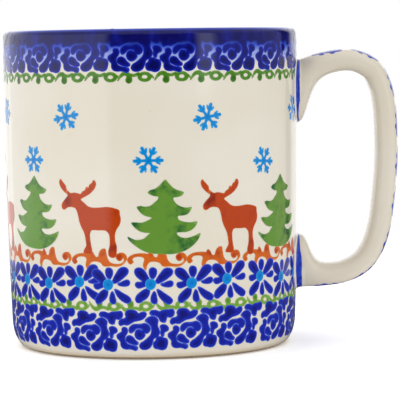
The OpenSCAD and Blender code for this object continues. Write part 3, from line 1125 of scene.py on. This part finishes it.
daisy = stamp("daisy_stamp", [rounded(line, spread=0.2) for line in DAISY_PETALS], grain=0.7,
              pools=[(2.6, 2.2, 1.2, 0.35), (-2.2, 2.4, 1.2, 0.35), (3.2, -2.8, 1.2, 0.3),
                     (-1.7, -2.6, 1, 0.3), (0.5, 2.8, 0.8, 0.2), (1.2, -3.4, 0.8, 0.2)])
dab = stamp("daisy_centre_stamp", [rounded([(-1.4, 0.3), (-0.9, 1.2), (0.2, 1.5), (1.1, 1.1),
                                            (1.45, 0), (0.9, -1.1), (-0.2, -1.45), (-1.1, -0.9)],
                                           spread=0.12)], grain=0.6)
DAISY_NUDGES = {1: (-0.7, -0.4), 2: (-0.7, 0.5), 3: (-3, -0.1), 4: (-2.0, 0),
                5: (-1.5, 0.1), 6: (-1.8, 0.7), 7: (-0.8, 0.6), 8: (-1, -0.4), 9: (-1.2, 0),
                10: (-1, 0.3), 11: (-0.5, -0.3), 12: (0, 0.4), 13: (0.4, 0), 14: (0.2, -0.3),
                15: (0.5, 0.2), 17: (-0.4, 0.3), 18: (0.3, -0.2), 19: (0.4, 0.1),
                20: (0, -0.3), 21: (-0.4, 0.3), 22: (-0.2, 0), 23: (0.2, -0.1)}
daisies = printed("daisy_band", wall_print, daisy, round_wall(24, -43, 21.5, DAISY_NUDGES),
                  cobalt_paint, DAISY_LIFT, seed=7, sway=3.0)
daisy_centres = printed("daisy_centres", wall_print, dab, round_wall(24, -43, 21.5, DAISY_NUDGES),
                        sky_paint, CENTRE_LIFT, seed=8, sway=25.0)

# %% [markdown]
# ## The amber scroll
# The ground that the deer walk on is a run of brushed scrolls. One unit is a single brush movement:
# a hook, a dip under a pointed leaf, and a curl that ends in a round dab. It is an outline like the
# rose's, in which the brush is thin on the way down and fat where it was lifted.

# %% Scroll band
SCROLL = [(-6.3, -0.3), (-5.5, -1.4), (-4.5, -0.7), (-4.9, -0.1), (-4.4, 0.5), (-3.2, 0.8),
          (-1.9, 0.6), (-1.5, 0.1), (-1.7, -0.9), (-1.8, -1.9), (-1.1, -3), (-0.7, -1.7), (0, -0.8),
          (1.6, -0.6), (3, -1.1), (3.5, -1.8), (4.4, -2), (6, -1.9), (7.6, -2.1), (9.2, -1.6),
          (10.1, -0.8), (10.6, 0), (10.4, 1), (9.7, 1.7), (8.8, 1.8), (7.8, 1.4), (7.4, 0.7),
          (7.8, -0.2), (8.5, -0.5), (9.2, -0.1), (9.5, 0.4), (9.7, -0.4), (8.9, -1.2), (7.2, -1.3),
          (5.9, -1), (5.1, -0.1), (4.8, 0.9), (4.6, 1.8), (4.4, 2.9), (3.4, 2.9), (2.6, 2.1),
          (2.1, 0.7), (1.4, 0.7), (0.9, 1.5), (0.3, 2.3), (-0.2, 2.2), (-0.4, 1.6), (-1.6, 1.7),
          (-3.6, 1.6), (-5, 1.2), (-6, 0.5)]
SCROLL_BASE = 28.5
scroll = stamp("scroll_stamp", [rounded(SCROLL, spread=0.06)], grain=0.6,
               pools=[(8.4, 0.6, 1.2, 0.9), (-5.5, -0.4, 1, 0.5), (-3, 1.2, 1.6, 0.4),
                      (0.4, 1.2, 0.9, 0.5), (3.4, 1.6, 1.2, 0.5), (4.2, -1, 1.3, 0.2),
                      (-1.3, -2.2, 1.2, -0.7), (7, -1.6, 1.6, -0.2)])
scrolls = printed("amber_scroll_band", wall_print, scroll, round_wall(
    16, -34.2, SCROLL_BASE, {1: (0.2, 0), 2: (0.3, 0), 3: (0.2, 0), 4: (1.2, -0.3), 5: (1.4, 0)}),
    scroll_paint, LINE_LIFT, seed=9, sway=0.8)

# %% [markdown]
# ## Fir trees, deer and snow
# Three more stamps make the winter frieze. The fir has four tiers with turned-up tips, and green
# that pooled in the tips. The deer looks left; its head took more colour than its back, and its
# antlers went thin. They alternate round the wall, and a space is left where the handle stands.

# %% Fir and deer stamps
FIR = [(0.1, 10.2), (1, 9.2), (2.5, 7.7), (3.75, 7.1), (5.3, 6.5), (4.9, 5.8), (3.75, 5.25),
       (2.3, 5.05), (2.5, 4.2), (3.5, 3.1), (5, 2.4), (6.5, 2.25), (7.5, 2.4), (7.2, 1.5),
       (6.4, 0.5), (5, 0.05), (3.5, -0.1), (3.75, -1), (5, -1.6), (7, -1.9), (9.1, -1.75),
       (8.6, -3), (7.5, -4), (6, -4.55), (4.25, -4.6), (3.1, -4.75), (3.5, -5.4), (4.5, -6),
       (6, -6.2), (8, -5.75), (10, -5.05), (9.5, -6.5), (8.25, -8), (6.5, -9.25), (4.5, -10.1),
       (2, -10.6), (-1, -10.6), (-3.5, -10.4), (-6, -9.75), (-8, -8.6), (-9.5, -7.4),
       (-10.6, -6.25), (-10.7, -5.6), (-9.75, -6), (-8.5, -6.5), (-7, -6.4), (-5.9, -6), (-5, -5.1),
       (-4.4, -4.7), (-6, -4.5), (-7.5, -4), (-8.75, -3), (-9.6, -1.7), (-8.5, -1.6),
       (-6.75, -1.7), (-5.25, -1.2), (-3.9, -0.4), (-5.25, 0), (-6.5, 0.6), (-7.4, 1.6),
       (-8, 2.7), (-7, 2.95), (-5.75, 2.75), (-4.25, 2.95), (-3, 3.9), (-2.1, 4.7), (-1.9, 5.4),
       (-3, 5.6), (-4.25, 6.1), (-4.9, 6.6), (-4.25, 7.25), (-3, 7.6), (-1.75, 8.4), (-0.75, 9.4)]
fir = stamp("fir_stamp", [rounded(FIR, 0.4)], grain=1.0, pools=[
    (-3.6, 6.7, 1.5, 0.7), (-7.2, 2.3, 1.3, 0.7), (-8.8, -2.2, 1.3, 0.7), (-9.4, -6.2, 1.5, 0.6),
    (5, -7.6, 3.4, 0.45), (4.6, -2.9, 2.4, 0.45), (4.4, 1.6, 2, 0.4), (2.8, 6.4, 1.6, 0.4),
    (0, 8, 1.8, 0.35), (7.6, -6.8, 1.6, 0.3), (-3.5, -7.6, 3, -0.35), (-1.8, -3.4, 2.2, -0.2)])
DEER = [(-9, 3.25), (-8.7, 4.1), (-7.9, 5), (-7, 5.9), (-6.8, 6.5), (-7.6, 7), (-8.7, 8), (-9.4, 9),
        (-9.6, 10.2), (-9.1, 10.9), (-8.5, 10.25), (-7.8, 9.5), (-7.2, 8.8), (-7.1, 8), (-6.4, 7.4),
        (-5.7, 6.95), (-4.5, 7.1), (-3.5, 6.95), (-2.5, 6.75), (-1.9, 7.4), (-1, 7.9), (-0.75, 8.6),
        (-0.3, 8.8), (0, 8.5), (0.4, 9.4), (1.1, 9.8), (1.5, 10.6), (2.1, 10.5), (2.45, 9.7),
        (2.1, 8.5), (1.2, 7.4), (0, 6.5), (-1.5, 5.75), (-2.4, 5.2), (-1.5, 4.4), (-0.25, 3.4),
        (1, 3), (3, 3), (5.5, 3.2), (7.5, 2.9), (9.1, 2.25), (9.2, 1.2), (9.45, -0.25),
        (9.1, -1.75), (8.25, -3), (7.75, -4.25), (7.7, -6), (8.1, -7.75), (8.1, -9.25),
        (7.75, -10.7), (6.75, -11.05), (5.75, -10.5), (5.6, -9.25), (6, -7.75), (6.1, -6),
        (5.9, -4.5), (5, -3.5), (3, -3.4), (0.75, -3.45), (0.25, -4.25), (0.25, -6), (0.5, -7.75),
        (0.75, -9), (0.5, -10.1), (-0.75, -10), (-2, -9.7), (-1.6, -8.5), (-1.1, -7.75),
        (-1.25, -6), (-1.6, -4.25), (-2.5, -2.5), (-3.1, -1), (-3.4, 0.5), (-3.75, 1.75),
        (-4.25, 2.6), (-5.25, 3), (-6.75, 2.9), (-7.75, 2.3), (-8.6, 2.3)]
deer = stamp("deer_stamp", [rounded(DEER)], grain=0.9, pools=[
    (-6.2, 5.4, 1.6, 0.9), (-7.6, 3.6, 1.4, 0.4), (-3.2, 1.4, 1.6, 0.35), (6.8, -8.5, 1.9, 0.55),
    (-0.5, -8, 1.4, 0.35), (8, 1, 1.4, 0.3), (-9.2, 9.6, 1.3, -0.9), (-0.4, -9.6, 0.8, -0.4),
    (-4.4, 5.8, 1, -0.3), (0.5, 8, 1.3, 0.1)])

# %% Snowflake stamp
FLAKE_ARM = 3.9
FLAKE_TURNS = (0, 4, -3, 2, -4, 3)
FLAKE_REACHES = (1, 0.97, 1.02, 1.04, 0.95, 0.97)


def flake():
    """Six arms with side buds, drawn a little unevenly."""
    lines = [oval(0, 0, 2.1, 2.1, 18)]
    for k, (turn, share) in enumerate(zip(FLAKE_TURNS, FLAKE_REACHES)):
        a = math.radians(60 * k + turn)
        reach = FLAKE_ARM * share

        def spot(r, side, width):
            return (r * math.cos(a) - side * math.sin(a), r * math.sin(a) + side * math.cos(a), width)

        lines.append(stroke([spot(0.3, 0, 1.0), spot(reach * 0.45, 0, 0.82),
                             spot(reach * 0.7, 0, 1.1), spot(reach * 0.97, 0, 1.0)], 0.25))
        for side in (-1, 1):
            lines.append(stroke([spot(reach * 0.52, 0, 0.7), spot(reach * 0.64, 0.55 * side, 0.75),
                                 spot(reach * 0.8, 0.95 * side, 0.6)], 0.25))
    return lines


snowflake = stamp("snowflake_stamp", flake(), grain=0.6, pools=[(0, 0, 1, 0.4)])

# %% The frieze
TREE_PLACES = [(-37.7, 41.3, 1.5, 1), (4.5, 40.5, 0, 1), (45, 40.5, -0.5, 1), (104.2, 40.6, 1, 1),
               (-124.2, 41, -1, 1), (-81.8, 40.4, 0.6, 1)]
DEER_PLACES = [(-17.5, 40, 0, 1), (24.3, 39.6, 0, 1), (83.2, 40.2, 1, 1), (125, 39.8, -1, 1),
               (-102.9, 40.3, 0.8, 1), (-60.4, 40, -0.6, 1)]
FLAKE_PLACES = [(-24.3, 68.2, -10, 1), (17, 67.7, -10, 1), (55, 69, 8, 1), (-37.4, 56, 0, 1),
                (0, 56, 0, 1), (36.6, 54.8, 5, 1), (97, 68.2, 12, 1), (79.5, 55.6, 2, 1),
                (-131, 68.4, -6, 1), (118, 55.2, 6, 1), (-88, 67.6, 4, 1), (-108, 56, -8, 1),
                (-68, 55.4, 3, 1), (-56, 69.2, 6, 0.98)]
firs = printed("fir_trees", wall_print, fir, TREE_PLACES, tree_paint, DAISY_LIFT, seed=10)
herd = printed("deer", wall_print, deer, DEER_PLACES, deer_paint, DEER_LIFT, seed=11)
snow = printed("snowflakes", wall_print, snowflake, FLAKE_PLACES, sky_paint, ROSE_LIFT, seed=12)

# %% [markdown]
# ## Roses down the strap
# The strap's outer face carries the same rose stamp, one above the other. The wall was unrolled by
# its angle; the strap is unrolled along a curve that runs up its outer face. Sample Curve gives the
# place and direction for each height of the flat strip, and the point is shot inwards from there.

# %% Strap path and tree
def strap_path():
    """A curve up the middle of the outer face, from the lower joint to the upper one."""
    curve = bpy.data.curves.new("strap_path", "CURVE")
    curve.dimensions = "3D"
    points = [strap_face(STRETCHES * (1 - i / 150)) for i in range(151)]
    spline = curve.splines.new("POLY")
    spline.points.add(len(points) - 1)
    for point, (x, z) in zip(spline.points, points):
        point.co = (x * MM, 0.0, z * MM, 1.0)
    thing = bpy.data.objects.new("strap_path", curve)
    scene.collection.objects.link(thing)
    length = sum(np.linalg.norm(b - a) for a, b in zip(points, points[1:]))
    return thing, length


path, strap_length = strap_path()
strap_print, given, made = tree_with("Print along the strap", PRINT_INPUTS)
copies = copies_of_stamp(strap_print, given)
aside, out, up = split(strap_print, add(strap_print, "GeometryNodeInputPosition"))
line = add(strap_print, "GeometryNodeObjectInfo", None, {"Object": given["Path"]}, "Geometry")
sample = strap_print.nodes.new("GeometryNodeSampleCurve")
sample.mode = "LENGTH"
plug(strap_print, line, sample.inputs[0])
plug(strap_print, up, sample.inputs["Length"])
heading = Value(sample.outputs["Tangent"])
outward = vector_sum("CROSS_PRODUCT", joined(strap_print, 0.0, 1.0, 0.0), heading)
stand_off = add(strap_print, "ShaderNodeVectorMath", {"operation": "SCALE"},
                {0: outward, "Scale": STRAP_SHOT})
start = vector_sum("ADD", vector_sum("ADD", Value(sample.outputs["Position"]), stand_off),
                   joined(strap_print, 0.0, aside, 0.0))
back = add(strap_print, "ShaderNodeVectorMath", {"operation": "SCALE"}, {0: outward, "Scale": -1.0})
plug(strap_print, laid_on(strap_print, given, copies, start, back, out), made)
print(f"strap's outer face is {strap_length:.1f} mm long")

# %% Strap roses
STRAP_ROSES = 9
STRAP_MARGIN = 9.0
STRAP_START = STRAP_MARGIN - 1.2
STRAP_SIZE = 0.79
STRAP_ASIDE = -0.75
step = (strap_length - 2 * STRAP_MARGIN) / (STRAP_ROSES - 1)
strap_places = [(STRAP_ASIDE, STRAP_START + i * step, 0.0, STRAP_SIZE)
                for i in range(STRAP_ROSES)]
strap_roses = printed("strap_roses", strap_print, rose, strap_places, cobalt_paint, ROSE_LIFT, seed=13,
                      surface=strap_coat, path=path)
for helper in (printing_form, path, rose, drop_down, drop_up, daisy, dab, scroll, fir, deer, snowflake):
    hide_away(helper)

# %% [markdown]
# ## The studio
# A glossy pot shows its lights more than its shape. A large soft panel stands left and runs down past
# the table, so its reflection is a long soft veil. A narrow bright one on the right ends at table
# height, a wide dim one stands beside it, and the wall behind the pot is bright, which lights the
# edges. It stays dark in front, where the colours look deepest. The table is a faintly glowing disc,
# so that the heel gets light from below, and its edge fades into the white room.

# %% Table and room
TABLE_R, FADE_FROM = 420 * MM, 140 * MM


def table():
    mesh = bpy.data.meshes.new("table")
    count = 96
    turn = [2 * math.pi * i / count for i in range(count)]
    mesh.from_pydata([(TABLE_R * math.cos(a), TABLE_R * math.sin(a), 0.0) for a in turn], [],
                     [tuple(range(count))])
    material, tree, shader = new_material("table_white")
    mirrored = add(tree, "ShaderNodeLightPath", None, None, "Is Glossy Ray")
    plug(tree, blend(mirrored, (0.98, 0.98, 0.98, 1.0), (0.12, 0.12, 0.12, 1.0)),
         shader.inputs["Base Color"])
    plug(tree, blend(mirrored, (0.2, 0.2, 0.2, 1.0), (0.0, 0.0, 0.0, 1.0)),
         shader.inputs["Emission Color"])
    shader.inputs["Emission Strength"].default_value = 1.0
    shader.inputs["Roughness"].default_value = 1.0
    shader.inputs["Specular IOR Level"].default_value = 0.0
    place = object_place(tree)
    away = add(tree, "ShaderNodeVectorMath", {"operation": "LENGTH"}, {0: place}, "Value")
    fade = smooth(away, FADE_FROM, TABLE_R * 0.95)
    clear = tree.nodes.new("ShaderNodeBsdfTransparent")
    mix = tree.nodes.new("ShaderNodeMixShader")
    plug(tree, fade, mix.inputs[0])
    tree.links.new(shader.outputs[0], mix.inputs[1])
    tree.links.new(clear.outputs[0], mix.inputs[2])
    tree.links.new(mix.outputs[0], tree.nodes["Material Output"].inputs["Surface"])
    mesh.materials.append(material)
    return show("table", mesh)


floor = table()
print(f"table {2 * TABLE_R / MM:.0f} mm across")

world = bpy.data.worlds.new("studio")
scene.world = world
world.use_nodes = True
room = world.node_tree
light_path = room.nodes.new("ShaderNodeLightPath")
seen = Value(light_path.outputs["Is Camera Ray"])
mirrored = Value(light_path.outputs["Is Glossy Ray"])
right, away, up = split(room, add(room, "ShaderNodeTexCoord", None, None, "Generated"))
azimuth = right.sum("ARCTAN2", right, -away) * (180 / math.pi)


def between(value, start, stop, soft):
    """1 from start to stop, with edges `soft` degrees wide."""
    return smooth(value, start - soft / 2, start + soft / 2) * (
        1 - smooth(value, stop - soft / 2, stop + soft / 2))


LEFT_PANEL, RIGHT_PANEL, DIM_PANEL = (-146, -32, 8), (38, 52, 8), (52, 126, 4)
BEHIND = (138, 150)
DARK = 0.04
above_edge = smooth(up, -0.03, -0.005) * 0.85 + 0.15
panels = (between(azimuth, *LEFT_PANEL) * 1.05 + between(azimuth, *RIGHT_PANEL) * 1.5 * above_edge
          + between(azimuth, *DIM_PANEL) * 0.32
          + smooth(azimuth.without_sign(), *BEHIND) * 1.15 + DARK)
overhead = smooth(up, 0.25, 0.6)
mirror_light = panels * (1 - overhead) + overhead * 0.6
fill_light = 0.92 + right * -0.02 + up * 0.08 + smooth(up, 0.4, 0.9) * 0.4
backdrop = room.nodes["Background"]
plug(room, seen + (1 - seen) * (mirrored * mirror_light + (1 - mirrored) * fill_light),
     backdrop.inputs["Strength"])
backdrop.inputs["Color"].default_value = (1.0, 1.0, 1.0, 1.0)

# %% Camera
VIEW_ANGLE, TILT_DOWN, ROLL = 9.9957, 3.78, -0.82
CAMERA_PLACE = Vector((14.1, -674.4, 86.6))
camera_data = bpy.data.cameras.new("camera")
camera_data.angle = math.radians(VIEW_ANGLE)
camera = bpy.data.objects.new("camera", camera_data)
scene.collection.objects.link(camera)
camera.matrix_world = (Matrix.Translation(CAMERA_PLACE * MM)
                       @ Matrix.Rotation(math.radians(90 - TILT_DOWN), 4, "X")
                       @ Matrix.Rotation(math.radians(ROLL), 4, "Z"))
scene.camera = camera
scene.view_settings.view_transform = "Standard"
print(f"camera {CAMERA_PLACE.length:.0f} mm from the foot, {VIEW_ANGLE:.1f} degrees wide")

# %% [markdown]
# ## Pieces, body and frame
# Each piece says which body it moves with, which finish of the record it has, and which plain solid
# of the frame it stands for. A mug has no joint, so everything rides on the one body.

# %% Ride and replace
PIECES = [(clay_body, "stoneware", ["stoneware_body"]), (wall_coat, "cream_glaze", ["outside_glaze"]),
          (rim_coat, "cobalt", ["rim_band"]), (liner_coat, "cream_glaze", ["liner_glaze"]),
          (under_coat, "cream_glaze", ["underside_glaze"]),
          (strap_coat, "cream_glaze", ["handle_glaze"]), (upper_joint, "slip", ["upper_handle_slip"]),
          (lower_joint, "slip", ["lower_handle_slip"]), (lower_roses, "cobalt", []),
          (upper_roses, "cobalt", []), (strap_roses, "cobalt", []), (daisies, "cobalt", []),
          (daisy_centres, "sky_blue", []), (snow, "sky_blue", []), (upper_line, "leaf_green", []),
          (lower_line, "leaf_green", []), (firs, "leaf_green", []), (herd, "rust", []),
          (scrolls, "amber", [])]
for piece, finish, stands_for in PIECES:
    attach(piece, "root")
    if stands_for:
        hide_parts(*stands_for)
